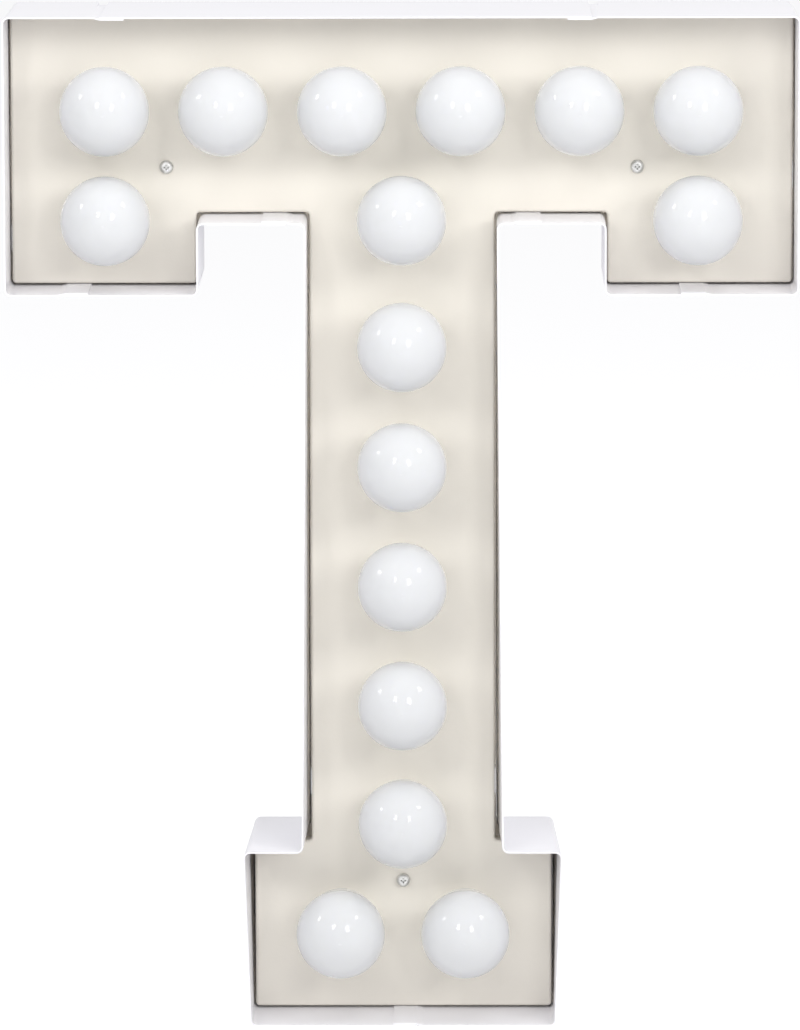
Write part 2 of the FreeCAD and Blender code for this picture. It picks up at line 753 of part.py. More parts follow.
def make_cap(number, x, z):
    """One bulb's screw cap: a rolled rim, the shell, the insulator and the tip."""
    name = f"cap_{number:02d}"
    tip_edge = "(Sizes.tip_depth - Sizes.tip_radius / 4)"
    body = turned(name, [
        ("0", "Sizes.neck_seat_depth"),
        ("Sizes.neck_seat_radius", "Sizes.neck_seat_depth"),
        ("Sizes.neck_seat_radius", "0"),
        ("Sizes.cap_rim_radius", "0"),
        ("Sizes.cap_rim_radius", "Sizes.cap_rim_depth"),
        ("Sizes.cap_radius", "Sizes.cap_rim_depth"),
        ("Sizes.cap_radius", "Sizes.cap_thread_depth"),
        ("Sizes.insulator_radius", "Sizes.insulator_depth"),
        ("Sizes.tip_radius", "Sizes.insulator_depth"),
        ("Sizes.tip_radius", tip_edge),
        ("Sizes.tip_radius / 2", "Sizes.tip_depth"),
        ("0", "Sizes.tip_depth"),
    ])
    place(body, x, PANEL_FRONT, z)
    keep(body, name)


# Lampholders

def make_lampholders():
    """The white holders: a threaded skirt, a flange behind the panel and a square housing."""
    body = doc.addObject("PartDesign::Body", "lampholder")
    outline = sketch_on(body, "holder_profile", "XY_Plane")
    flange_back = "(Sizes.sheet_thickness + Sizes.flange_thickness)"
    polygon(outline, [
        ("0", "-Sizes.skirt_proud"),
        ("Sizes.skirt_radius", "-Sizes.skirt_proud"),
        ("Sizes.skirt_radius", "Sizes.sheet_thickness"),
        ("Sizes.flange_radius", "Sizes.sheet_thickness"),
        ("Sizes.flange_radius", flange_back),
        ("Sizes.barrel_radius", flange_back),
        ("Sizes.barrel_radius", "Sizes.barrel_depth"),
        ("0", "Sizes.barrel_depth"),
    ])
    revolve(body, "holder_turning", outline)
    square = sketch_on(body, "housing_outline", "XZ_Plane", "-Sizes.barrel_depth")
    half = "Sizes.housing_width / 2"
    polygon(square, [
        (f"-{half}", f"-{half}"), (half, f"-{half}"), (half, half), (f"-{half}", half),
    ])
    pad(body, "holder_housing", square, "Sizes.housing_depth - Sizes.barrel_depth")
    bore = sketch_on(body, "bore_profile", "XY_Plane")
    shell_end = "(Sizes.mouth_depth + Sizes.shell_depth)"
    polygon(bore, [
        ("0", "-Sizes.skirt_proud"),
        ("Sizes.mouth_radius", "-Sizes.skirt_proud"),
        ("Sizes.mouth_radius", "Sizes.mouth_depth"),
        (SHELL_OUTSIDE, "Sizes.mouth_depth"),
        (SHELL_OUTSIDE, shell_end),
        ("Sizes.contact_room", shell_end),
        ("Sizes.contact_room", "Sizes.contact_floor"),
        ("0", "Sizes.contact_floor"),
    ])
    doc.recompute()
    before = body.Shape.Volume
    revolve(body, "holder_bore", bore, "Groove")
    doc.recompute()
    if body.Shape.Volume > before - 1:
        raise RuntimeError("the lampholder's bore cut nothing")
    group("lampholder_bodies", body, BULBS, PANEL_FRONT)


def make_screw_shells():
    """The brass shells that grip each bulb's cap."""
    shell_end = "(Sizes.mouth_depth + Sizes.shell_depth)"
    body = turned("screw_shell", [
        (SHELL_BORE, "Sizes.mouth_depth"),
        (SHELL_OUTSIDE, "Sizes.mouth_depth"),
        (SHELL_OUTSIDE, shell_end),
        (SHELL_BORE, shell_end),
    ])
    group("screw_shells", body, BULBS, PANEL_FRONT)


def make_centre_contacts():
    """The springy tongue at the bottom of each holder, just clear of the bulb's tip."""
    body = doc.addObject("PartDesign::Body", "centre_contact")
    outline = sketch_on(body, "contact_outline", "XY_Plane")
    face = "(Sizes.tip_depth + Sizes.contact_gap)"
    under = f"({face} + Sizes.contact_thickness)"
    reach = "(Sizes.contact_room - Sizes.contact_side_gap)"
    polygon(outline, [
        (f"-{reach}", "Sizes.contact_floor"),
        (f"-{reach}", face),
        (f"{reach} / 2", face),
        (reach, under),
        (f"{reach} / 2", under),
        (f"Sizes.contact_thickness - {reach}", under),
        (f"Sizes.contact_thickness - {reach}", "Sizes.contact_floor"),
    ])
    feature = add_feature(body, "Pad", "contact_pad", outline)
    feature.setExpression("Length", "Sizes.contact_width")
    feature.Midplane = True
    group("centre_contacts", body, BULBS, PANEL_FRONT)


def make_shade_rings():
    """The white threaded rings that clamp the holders to the panel from the front."""
    inside = "(Sizes.skirt_radius + Sizes.ring_clearance)"
    body = turned("shade_ring", [
        (inside, "0"),
        ("Sizes.ring_radius", "0"),
        ("Sizes.ring_radius", "-Sizes.ring_rim"),
        ("Sizes.ring_radius - Sizes.ring_rim", "-Sizes.ring_height"),
        (inside, "-Sizes.ring_height"),
    ])
    group("shade_rings", body, BULBS, PANEL_FRONT)


# Fasteners

def make_screw(name):
    """A pan head machine screw with a cross recess, its head towards the front."""
    head, height = "Sizes.head_radius", "Sizes.head_height"
    crown = [(f"{head} * {across}", f"-{height} * {up}") for across, up in PAN_HEAD]
    body = turned(name, [("0", f"-{height}")] + crown + [
        (head, "0"),
        ("Sizes.screw_radius", "0"),
        ("Sizes.screw_radius", "Sizes.screw_length"),
        ("0", "Sizes.screw_length + Sizes.screw_radius / 3"),
    ])
    recess = sketch_on(body, f"{name}_recess", "XZ_Plane", height)
    long, short = "Sizes.recess_reach", "Sizes.recess_width / 2"
    arm = [(long, f"-{short}"), (long, short), (short, short)]
    cross = arm + [(short, long), (f"-{short}", long), (f"-{short}", short)]
    cross += [(f"-{long}", short), (f"-{long}", f"-{short}"), (f"-{short}", f"-{short}")]
    cross += [(f"-{short}", f"-{long}"), (short, f"-{long}"), (short, f"-{short}")]
    polygon(recess, cross)
    pocket(body, f"{name}_cross", recess, "Sizes.recess_depth")
    return body


def make_fixings():
    """The screws that show in front, the pillars behind them and the screws at the back."""
    face_screw = make_screw("face_screw")
    group("face_screws", face_screw, SCREWS, PANEL_FRONT)
    back_screw = make_screw("back_screw")
    links = []
    for count, (x, z) in enumerate(SCREWS, 1):
        link = doc.addObject("App::Link", f"back_screws_{count}")
        link.LinkedObject = back_screw
        about_z = FreeCAD.Rotation(vector(0, 0, 1), 180)
        link.Placement = FreeCAD.Placement(vector(0, 0), about_z)
        place(link, x, PAN_BACK, z)
        links.append(link)
    gathered = doc.addObject("Part::Compound", "back_screws")
    gathered.Links = links
    keep(gathered, "back_screws")
    pillar = doc.addObject("PartDesign::Body", "pillar")
    hexagon = sketch_on(pillar, "pillar_outline", "XZ_Plane", "0")
    polygon(hexagon, hexagon_corners("Sizes.pillar_across_flats"))
    circle(hexagon, "0", "0", SCREW_HOLE)
    pad(pillar, "pillar_length", hexagon, f"{PAN_FRONT} - {PANEL_BACK}")
    group("panel_pillars", pillar, SCREWS, PANEL_BACK)


def hexagon_corners(across_flats):
    """Corners of a hexagon with two flats upright."""
    corners = []
    for step in range(6):
        angle = math.radians(30 + 60 * step)
        scale = 1 / math.sqrt(3)
        across = round(math.cos(angle) * scale, 9)
        up = round(math.sin(angle) * scale, 9)
        corners.append((f"{across_flats} * {across}", f"{across_flats} * {up}"))
    return corners


def make_edge_clips():
    """Spring clips on the panel's folded edge, which hold it off the side walls."""
    body = doc.addObject("PartDesign::Body", "edge_clip")
    outline = sketch_on(body, "clip_outline", "XY_Plane")
    edge = "Sizes.panel_flange"
    bar, gap = "Sizes.clip_thickness", "Sizes.clip_clearance"
    inner = f"(-Sizes.sheet_thickness - {gap})"
    polygon(outline, [
        (f"{bar} + {gap}", f"{edge} - Sizes.clip_depth"),
        (f"{bar} + {gap}", f"{edge} + {bar} + {gap}"),
        (f"{inner} - {bar}", f"{edge} + {bar} + {gap}"),
        (f"{inner} - {bar}", f"{edge} - Sizes.clip_depth / 2"),
        (inner, f"{edge} - Sizes.clip_depth / 2"),
        (inner, f"{edge} + {gap}"),
        (gap, f"{edge} + {gap}"),
        (gap, f"{edge} - Sizes.clip_depth"),
    ])
    feature = add_feature(body, "Pad", "clip_width", outline)
    feature.setExpression("Length", "Sizes.clip_length")
    feature.Midplane = True
    side = "(Sizes.letter_width / 2 - Sizes.panel_inset)"
    stem = "(Sizes.stem_width / 2 - Sizes.panel_inset)"
    stem_row = "Sizes.foot_height + Sizes.stem_clip_rise"
    spots = [
        (side, "Sizes.letter_height - Sizes.right_clip_drop", 0),
        (f"-{side}", "Sizes.letter_height - Sizes.left_clip_drop", 180),
        (stem, stem_row, 0),
        (f"-{stem}", stem_row, 180),
    ]
    links = []
    for count, (x, z, turn) in enumerate(spots, 1):
        link = doc.addObject("App::Link", f"edge_clips_{count}")
        link.LinkedObject = body
        about_y = FreeCAD.Rotation(vector(0, 1, 0), turn)
        link.Placement = FreeCAD.Placement(vector(0, 0), about_y)
        place(link, x, PANEL_FRONT, z)
        links.append(link)
    gathered = doc.addObject("Part::Compound", "edge_clips")
    gathered.Links = links
    keep(gathered, "edge_clips")


# Wiring

def wire_along(points):
    """A round wire along straight runs that tangent arcs join."""
    turn = size("wire_turn")
    edges = []
    start = points[0]
    for before, corner, after in zip(points, points[1:], points[2:]):
        back = (before - corner).normalize()
        ahead = (after - corner).normalize()
        half_angle = back.getAngle(ahead) / 2
        reach = turn / math.tan(half_angle)
        towards = (back + ahead).normalize()
        middle = corner + towards * (turn / math.sin(half_angle) - turn)
        edges.append(Part.makeLine(start, corner + back * reach))
        start = corner + ahead * reach
        edges.append(Part.Arc(corner + back * reach, middle, start).toShape())
    edges.append(Part.makeLine(start, points[-1]))
    ring = Part.makeCircle(size("wire_radius"), points[0], points[1] - points[0])
    return Part.Wire(edges).makePipeShell([Part.Wire([ring])], True, False)


def jumper(one, other, hand):
    """A wire from one lampholder's housing to the next one's, on one side of the run."""
    ax, az = (value_of(text) for text in one)
    bx, bz = (value_of(text) for text in other)
    depth = value_of(PANEL_FRONT) + size("wire_depth")
    out = size("housing_width") / 2 + size("wire_end_gap")
    spread = hand * size("wire_spread")
    if abs(bx - ax) > abs(bz - az):
        way = math.copysign(1, bx - ax)
        start = vector(ax + way * out, depth, az + spread)
        return wire_along([start, vector(bx - way * out, depth, bz + spread)])
    way = math.copysign(1, bz - az)
    start = vector(ax + spread, depth, az + way * out)
    return wire_along([start, vector(bx + spread, depth, bz - way * out)])


def feed_wire(hand, level, block_side, depth):
    """The wire that joins the terminal block to the holder above it, in its own lane."""
    housing_side = size("housing_width") / 2 + size("wire_end_gap")
    lane = (housing_side + block_side + hand * size("feed_lane_gap")) / 2
    row = value_of(FED_ROW) + hand * size("wire_spread")
    return wire_along([
        vector(block_side, depth, level),
        vector(lane, depth, level),
        vector(lane, depth, row),
        vector(housing_side, depth, row),
    ])


def make_wiring():
    """Live and neutral run from holder to holder, and both start at the terminal block."""
    entry = value_of(ENTRY_ROW)
    depth = value_of(PAN_FRONT) - size("block_wire_rise")
    block_side = size("block_offset") - size("block_width") / 2 - size("wire_end_gap")
    way = size("block_height") / 3
    for name, hand, level in (("live_wires", 1, entry + way), ("neutral_wires", -1, entry)):
        wires = [jumper(*pair, hand) for run in WIRE_RUNS for pair in zip(run, run[1:])]
        wires.append(feed_wire(hand, level, block_side, depth))
        add_wires(name, wires)
    lane = block_side - size("wire_turn") - size("wire_end_gap")
    stud_x = -size("earth_offset")
    lug_depth = value_of(f"{PAN_FRONT} - {LUG_AXIS}")
    lug_end = entry - size("lug_barrel_start") - size("lug_barrel_length")
    low = lug_end - size("earth_drop")
    add_wires("earth_wire", [wire_along([
        vector(block_side, depth, entry - way),
        vector(lane, depth, entry - way),
        vector(lane, lug_depth, entry - way),
        vector(lane, lug_depth, low),
        vector(stud_x, lug_depth, low),
        vector(stud_x, lug_depth, lug_end - size("wire_end_gap")),
    ])])


def add_wires(name, wires):
    piece = doc.addObject("Part::Feature", name)
    piece.Shape = Part.makeCompound(wires) if len(wires) > 1 else wires[0]
    piece.Placement = FreeCAD.Placement()
    keep(piece, name)


def make_entry():
    """The grommet for the mains cable, the terminal block and the earth stud."""
    wall, lip = "Sizes.sheet_thickness", "Sizes.grommet_lip_height"
    grommet = turned("cable_grommet", [
        ("Sizes.grommet_bore", f"-{wall} - {lip}"),
        ("Sizes.grommet_hole + Sizes.grommet_lip", f"-{wall} - {lip}"),
        ("Sizes.grommet_hole + Sizes.grommet_lip", f"-{wall}"),
        ("Sizes.grommet_hole", f"-{wall}"),
        ("Sizes.grommet_hole", "0"),
        ("Sizes.grommet_hole + Sizes.grommet_lip", "0"),
        ("Sizes.grommet_hole + Sizes.grommet_lip", lip),
        ("Sizes.grommet_bore", lip),
    ])
    place(grommet, "0", PAN_BACK, ENTRY_ROW)
    keep(grommet, "cable_grommet")

    block = doc.addObject("PartDesign::Body", "terminal_block")
    face = sketch_on(block, "block_outline", "XZ_Plane", "0")
    half_w, half_h = "Sizes.block_width / 2", "Sizes.block_height / 2"
    polygon(face, [
        (f"-{half_w}", f"-{half_h}"), (half_w, f"-{half_h}"),
        (half_w, half_h), (f"-{half_w}", half_h),
    ])
    pad(block, "block_body", face, "Sizes.block_depth", False)
    wells = sketch_on(block, "block_wells", "XZ_Plane", "Sizes.block_depth")
    spots = []
    for step in (-1, 0, 1):
        for column in ("-Sizes.block_width / 4", "Sizes.block_width / 4"):
            spots.append((column, f"{step} * Sizes.block_height / 3"))
    for x, z in spots:
        circle(wells, x, z, "Sizes.block_screw_radius + Sizes.screw_hole_clearance")
    pocket(block, "block_screw_wells", wells, "Sizes.block_depth / 2")
    place(block, "Sizes.block_offset", PAN_FRONT, ENTRY_ROW)
    keep(block, "terminal_block")

    screw = turned("terminal_screw", [
        ("0", "Sizes.block_screw_sink - Sizes.block_depth"),
        ("Sizes.block_screw_radius", "Sizes.block_screw_sink - Sizes.block_depth"),
        ("Sizes.block_screw_radius", "-Sizes.block_depth / 2"),
        ("0", "-Sizes.block_depth / 2"),
    ])
    places = [(f"Sizes.block_offset + {x}", f"{ENTRY_ROW} + {z}") for x, z in spots]
    group("terminal_screws", screw, places, PAN_FRONT)

    stud = turned("earth_stud", [
        ("0", f"-Sizes.earth_length - {wall}"),
        ("Sizes.earth_radius", f"-Sizes.earth_length - {wall}"),
        ("Sizes.earth_radius", "0"),
        ("0", "0"),
    ])
    place(stud, "-Sizes.earth_offset", PAN_BACK, ENTRY_ROW)
    keep(stud, "earth_stud")
    nut = doc.addObject("PartDesign::Body", "earth_nut")
    hexagon = sketch_on(nut, "nut_outline", "XZ_Plane", "0")
    polygon(hexagon, hexagon_corners("Sizes.earth_nut_across_flats"))
    circle(hexagon, "0", "0", "Sizes.earth_radius + Sizes.screw_hole_clearance")
    pad(nut, "nut_body", hexagon, "Sizes.earth_nut_height", False)
    place(nut, "-Sizes.earth_offset", f"{PAN_FRONT} - Sizes.lug_thickness", ENTRY_ROW)
    keep(nut, "earth_nut")
    make_earth_lug()


def make_earth_lug():
    """The ring terminal under the nut, with the barrel that grips the earth wire."""
    lug = doc.addObject("PartDesign::Body", "earth_lug")
    ring = sketch_on(lug, "lug_ring", "XZ_Plane", "0")
    circle(ring, "0", "0", "Sizes.lug_ring_radius")
    circle(ring, "0", "0", "Sizes.earth_radius + Sizes.screw_hole_clearance")
    pad(lug, "lug_plate", ring, "Sizes.lug_thickness", False)
    barrel = sketch_on(lug, "lug_barrel", "XY_Plane", "-Sizes.lug_barrel_start")
    circle(barrel, "0", f"-{LUG_AXIS}", "Sizes.lug_barrel_radius")
    pad(lug, "lug_grip", barrel, "Sizes.lug_barrel_length", True)
    place(lug, "-Sizes.earth_offset", PAN_FRONT, ENTRY_ROW)
    keep(lug, "earth_lug")


def write_steps():
    """Checks every object and writes each piece to its own file."""
    doc.recompute()
    for each in doc.Objects:
        if "Invalid" in each.State or "Error" in each.State:
            raise RuntimeError(f"{each.Name} failed: {each.State}")
    os.makedirs("parts", exist_ok=True)
    for piece in NODES:
        shape = piece.Shape
        if shape.isNull() or not shape.isValid() or not shape.Solids:
            raise RuntimeError(f"{piece.Label} has no valid solid")
    for piece in NODES:
        piece.Shape.exportStep(os.path.join("parts", f"{piece.Label}.step"))


make_face_panel()
make_back_pan()
make_returns()
for count, (column, row) in enumerate(BULBS, 1):
    make_globe(count, column, row)
    make_cap(count, column, row)
make_lampholders()
make_screw_shells()
make_centre_contacts()
make_shade_rings()
make_fixings()
make_edge_clips()
make_wiring()
make_entry()
write_steps()
print(len(NODES), "pieces written")
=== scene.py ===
import math

import bpy
from mathutils import Matrix, Vector


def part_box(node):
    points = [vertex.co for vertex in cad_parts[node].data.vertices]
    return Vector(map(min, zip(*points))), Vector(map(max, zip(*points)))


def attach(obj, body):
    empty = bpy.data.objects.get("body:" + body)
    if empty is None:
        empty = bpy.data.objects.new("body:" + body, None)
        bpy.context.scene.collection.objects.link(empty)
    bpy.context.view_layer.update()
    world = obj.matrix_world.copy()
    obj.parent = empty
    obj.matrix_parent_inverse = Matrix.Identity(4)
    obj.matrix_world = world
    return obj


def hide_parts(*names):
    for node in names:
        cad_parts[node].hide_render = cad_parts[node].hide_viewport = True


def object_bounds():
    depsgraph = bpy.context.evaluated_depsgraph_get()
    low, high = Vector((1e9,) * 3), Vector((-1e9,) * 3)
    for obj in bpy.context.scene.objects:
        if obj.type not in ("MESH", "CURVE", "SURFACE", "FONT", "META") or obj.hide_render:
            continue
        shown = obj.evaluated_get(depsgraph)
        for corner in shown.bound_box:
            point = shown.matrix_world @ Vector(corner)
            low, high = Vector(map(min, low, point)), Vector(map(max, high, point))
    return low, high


bl_info = {
    "name": "Light-up letter",
    "version": (1, 0, 0),
    "blender": (4, 5, 0),
    "location": "3D View > Sidebar > Letter",
    "description": "Dresses a marquee letter of painted sheet steel and opal globe bulbs",
    "category": "Object",
}

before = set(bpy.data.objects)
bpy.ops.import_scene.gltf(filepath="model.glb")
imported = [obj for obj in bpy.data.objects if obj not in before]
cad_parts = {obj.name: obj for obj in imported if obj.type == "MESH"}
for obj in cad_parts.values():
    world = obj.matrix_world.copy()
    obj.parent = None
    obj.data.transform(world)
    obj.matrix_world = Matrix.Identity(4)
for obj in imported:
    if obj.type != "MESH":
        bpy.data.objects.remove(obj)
CAD_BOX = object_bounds()

MM = 0.001
BULB_NUMBERS = range(1, 17)


def linear(hex_colour):
    """Turns a #RRGGBB colour, as a paint card or a screen shows it, to linear light."""
    levels = []
    for start in (1, 3, 5):
        level = int(hex_colour[start:start + 2], 16) / 255
        levels.append(level / 12.92 if level <= 0.04045 else ((level + 0.055) / 1.055) ** 2.4)
    return tuple(levels)


# What a user would change

def colour_choice(name, description, hex_colour):
    return bpy.props.FloatVectorProperty(
        name=name, description=description, subtype="COLOR", size=3, min=0, max=1,
        default=linear(hex_colour),
    )


def length_choice(name, description, default):
    return bpy.props.FloatProperty(
        name=name, description=description, default=default, unit="LENGTH", precision=4,
    )


class LetterFinishes(bpy.types.PropertyGroup):
    wall_colour: colour_choice("Wall paint", "White of the side walls and the back", "#F6F5F9")
    panel_colour: colour_choice("Panel paint", "Cream of the recessed face panel", "#F6F1E6")
    glass_colour: colour_choice("Opal glass", "White of the bulbs", "#D9DADB")
    peel_size: length_choice("Orange peel", "Width of one ripple in the paint", 1.8 * MM)


class LetterFixings(bpy.types.PropertyGroup):
    head_radius: length_choice("Head radius", "Radius of a pan head", 3.5 * MM)
    head_height: length_choice("Head height", "Height of a pan head", 2.4 * MM)
    shank_radius: length_choice("Shank radius", "Radius of a screw's shank", 1.7 * MM)
    shank_length: length_choice("Shank length", "Length of a screw under its head", 11 * MM)
    recess_reach: length_choice("Recess reach", "Half the span of the cross recess", 2.05 * MM)
    recess_width: length_choice("Recess width", "Width of one slot of the cross", 0.95 * MM)
    recess_depth: length_choice("Recess depth", "Depth of the cross recess", 1.3 * MM)


class LetterCaps(bpy.types.PropertyGroup):
    thread_pitch: length_choice("Thread pitch", "Rise of the cap's thread in one turn", 2.82 * MM)
    thread_crest: length_choice("Thread crest", "Radius over the thread", 6.92 * MM)
    thread_root: length_choice("Thread root", "Radius at the bottom of the thread", 6.25 * MM)


class LetterStage(bpy.types.PropertyGroup):
    floor_size: length_choice("Floor size", "Side of the square floor", 14)
    camera_side: length_choice("Camera side", "How far right of the letter it stands", 0.030)
    camera_distance: length_choice("Camera distance", "How far in front it stands", 3.606)
    camera_height: length_choice("Camera height", "How high above the floor it stands", 0.825)
    camera_dip: bpy.props.FloatProperty(
        name="Camera dip", description="How far the camera looks down", default=0.1565,
        subtype="ANGLE",
    )
    camera_turn: bpy.props.FloatProperty(
        name="Camera turn", description="How far the camera turns to its left",
        default=0.0087, subtype="ANGLE",
    )
    camera_roll: bpy.props.FloatProperty(
        name="Camera roll", description="How far the camera leans clockwise",
        default=0.0024, subtype="ANGLE",
    )
    lens: bpy.props.FloatProperty(
        name="Lens", description="Focal length for a 36 mm high frame", default=250.6,
    )
    ambient: bpy.props.FloatProperty(
        name="Ambient", description="Strength of the light from all around", default=0.43,
        min=0,
    )
    floor_lift: bpy.props.FloatProperty(
        name="Floor lift", description="What the camera sees the floor brighter by",
        default=0.55, min=0,
    )
    glow_power: bpy.props.FloatProperty(
        name="Glow power", description="Power of each weak light behind the face panel, in watts",
        default=0.009, min=0,
    )


# Finishes

def add_node(tree, kind, inputs=None, **settings):
    """Adds a node, sets it up, and links or sets its inputs."""
    node = tree.nodes.new(kind)
    for name, value in settings.items():
        setattr(node, name, value)
    for name, value in (inputs or {}).items():
        if isinstance(value, bpy.types.NodeSocket):
            tree.links.new(value, node.inputs[name])
        else:
            node.inputs[name].default_value = value
    return node


def new_finish(name, **sockets):
    """A material with only a Principled shader, whose sockets are given by name."""
    material = bpy.data.materials.new(name)
    material.use_nodes = True
    tree = material.node_tree
    tree.nodes.clear()
    inputs = {key.replace("_", " "): value for key, value in sockets.items()}
    shader = add_node(tree, "ShaderNodeBsdfPrincipled", inputs)
    add_node(tree, "ShaderNodeOutputMaterial", {"Surface": shader.outputs["BSDF"]})
    return material, tree, shader


def per(size):
    """The scale of a noise whose blotches are about this wide, in metres."""
    return 1 / size


def mottle(tree, shader, place, size, light, dark):
    """Lets a colour drift softly between two shades over blotches of the given size."""
    cloud = add_node(tree, "ShaderNodeTexNoise", {
        "Vector": place, "Scale": per(size), "Detail": 3.0, "Roughness": 0.55,
    })
    ramp = add_node(tree, "ShaderNodeValToRGB", {"Fac": cloud.outputs["Fac"]})
    ramp.color_ramp.elements[0].position = 0.35
    ramp.color_ramp.elements[0].color = (*dark, 1)
    ramp.color_ramp.elements[1].position = 0.65
    ramp.color_ramp.elements[1].color = (*light, 1)
    tree.links.new(ramp.outputs["Color"], shader.inputs["Base Color"])
    return cloud


def vary_roughness(tree, shader, source, low, high):
    spread = add_node(tree, "ShaderNodeMapRange", {
        "Value": source, "From Min": 0.3, "From Max": 0.7, "To Min": low, "To Max": high,
    })
    tree.links.new(spread.outputs["Result"], shader.inputs["Roughness"])


def emboss(tree, shader, height, depth):
    """Raises the surface by a pattern; depth is its real height in metres."""
    bump = add_node(tree, "ShaderNodeBump", {
        "Height": height, "Distance": depth, "Strength": 1.0,
    })
    tree.links.new(bump.outputs["Normal"], shader.inputs["Normal"])


def object_place(tree):
    """The place of each point in the object's own coordinates, in metres."""
    return add_node(tree, "ShaderNodeTexCoord").outputs["Object"]


def shade(colour, amount):
    """A colour with each level taken down to this share of it."""
    return tuple(level * amount for level in colour)


def powder_coat(name, colour, peel_size):
    """Powder coat, sprayed dry and baked, so it has a satin shine and a fine orange peel."""
    material, tree, shader = new_finish(name, IOR=1.5, Specular_IOR_Level=0.5)
    place = object_place(tree)
    cloud = mottle(tree, shader, place, 70 * MM, colour, shade(colour, 0.975))
    vary_roughness(tree, shader, cloud.outputs["Fac"], 0.30, 0.40)
    peel = add_node(tree, "ShaderNodeTexNoise", {
        "Vector": place, "Scale": per(peel_size), "Detail": 1.5, "Roughness": 0.4,
    })
    emboss(tree, shader, peel.outputs["Fac"], 0.03 * MM)
    return material


def opal_glass(name, colour):
    """Blown soda glass with an opal layer: a wet shine over a milky, slightly soft white."""
    # Light wanders nearly through the whole bulb, which keeps its shading flat
    red_reach, green_reach, blue_reach = 17 * MM, 17 * MM, 18 * MM
    material, tree, shader = new_finish(
        name, Roughness=0.02, IOR=1.5, Subsurface_Weight=1.0, Subsurface_Scale=1.0,
        Subsurface_Radius=(red_reach, green_reach, blue_reach),
    )
    mottle(tree, shader, object_place(tree), 30 * MM, colour, shade(colour, 0.985))
    return material


def plated_metal(name, colour, low, high):
    """Bright plate on a drawn part: an even metal shine with faint draw marks."""
    material, tree, shader = new_finish(name, Metallic=1.0)
    place = object_place(tree)
    cloud = mottle(tree, shader, place, 4 * MM, colour, shade(colour, 0.86))
    vary_roughness(tree, shader, cloud.outputs["Fac"], low, high)
    marks = add_node(tree, "ShaderNodeTexNoise", {
        "Vector": place, "Scale": per(0.5 * MM), "Detail": 2.0,
    })
    emboss(tree, shader, marks.outputs["Fac"], 0.006 * MM)
    return material


def moulded(name, colour, roughness, grain_size, grain_depth):
    """A moulded or extruded plastic: one colour all through and a fine tool texture."""
    material, tree, shader = new_finish(name, IOR=1.49)
    place = object_place(tree)
    cloud = mottle(tree, shader, place, 12 * MM, colour, shade(colour, 0.94))
    vary_roughness(tree, shader, cloud.outputs["Fac"], roughness, roughness + 0.08)
    grain = add_node(tree, "ShaderNodeTexNoise", {
        "Vector": place, "Scale": per(grain_size), "Detail": 2.0,
    })
    emboss(tree, shader, grain.outputs["Fac"], grain_depth)
    return material


def striped_insulation(name):
    """Green wire insulation with a yellow stripe along a third of it, as an earth wire has."""
    material, tree, shader = new_finish(name, Roughness=0.45, IOR=1.53)
    place = object_place(tree)
    split = add_node(tree, "ShaderNodeSeparateXYZ", {"Vector": place})
    # A sine repeats after a full turn, so this stripe comes back every 3.8 mm of depth
    stripe_pitch = 0.6 * MM * math.tau
    waves = add_node(tree, "ShaderNodeMath", {
        0: split.outputs["Y"], 1: math.tau / stripe_pitch,
    }, operation="MULTIPLY")
    stripe = add_node(tree, "ShaderNodeMath", {0: waves.outputs["Value"]}, operation="SINE")
    ramp = add_node(tree, "ShaderNodeValToRGB", {"Fac": stripe.outputs["Value"]})
    ramp.color_ramp.interpolation = "CONSTANT"
    ramp.color_ramp.elements[0].color = (*linear("#2F7A2B"), 1)
    ramp.color_ramp.elements[1].position = 0.5
    ramp.color_ramp.elements[1].color = (*linear("#E3C81E"), 1)
    tree.links.new(ramp.outputs["Color"], shader.inputs["Base Color"])
    return material


def dress(finish, *names):
    """Gives CAD nodes their finish."""
    for name in names:
        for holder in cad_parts[name].material_slots:
            holder.material = finish


# Modelling

def start_clean():
    """Leaves edit mode and deselects everything."""
    if bpy.context.object and bpy.context.object.mode != "OBJECT":
        bpy.ops.object.mode_set(mode="OBJECT")
    bpy.ops.object.select_all(action="DESELECT")


def only_select(piece):
    """Leaves one piece selected and active."""
    start_clean()
    piece.select_set(True)
    bpy.context.view_layer.objects.active = piece


def smooth(piece, degrees=35):
    """Shades a piece smooth, but for edges sharper than this."""
    only_select(piece)
    bpy.ops.object.shade_smooth_by_angle(angle=math.radians(degrees))


def modifier(piece, kind, name, **settings):
    """Adds a modifier and applies it."""
    only_select(piece)
    added = piece.modifiers.new(name, kind)
    for key, value in settings.items():
        setattr(added, key, value)
    bpy.ops.object.modifier_apply(modifier=name)


def select_faces(piece, wanted):
    """In edit mode, selects only the faces that pass a test."""
    bpy.ops.mesh.select_mode(type="FACE")
    bpy.ops.mesh.select_all(action="DESELECT")
    bpy.ops.object.mode_set(mode="OBJECT")
    for face in piece.data.polygons:
        face.select = wanted(face)
    bpy.ops.object.mode_set(mode="EDIT")


def facing_front():
    """Turns a shape modelled along +Z so that its top faces the front, -Y."""
    return Matrix.Rotation(math.radians(90), 4, "X")


def own_copy(piece, move):
    """A copy with its own mesh, moved inside that mesh."""
    twin = piece.copy()
    twin.data = piece.data.copy()
    twin.data.transform(move)
    bpy.context.scene.collection.objects.link(twin)
    return twin


def copy_to(piece, name, move, body, slot, *replaced):
    """A copy that rides on a body and stands in for CAD nodes."""
    twin = own_copy(piece, move)
    twin.name = name
    twin.data.name = name
    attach(twin, body)
    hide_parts(*replaced)


def discard(piece):
    """Removes a model that was only there to be copied or cut with."""
    bpy.data.objects.remove(piece, do_unlink=True)


def middle(name):
    """The middle of a CAD node's box."""
    low, high = (Vector(corner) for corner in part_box(name))
    return (low + high) / 2


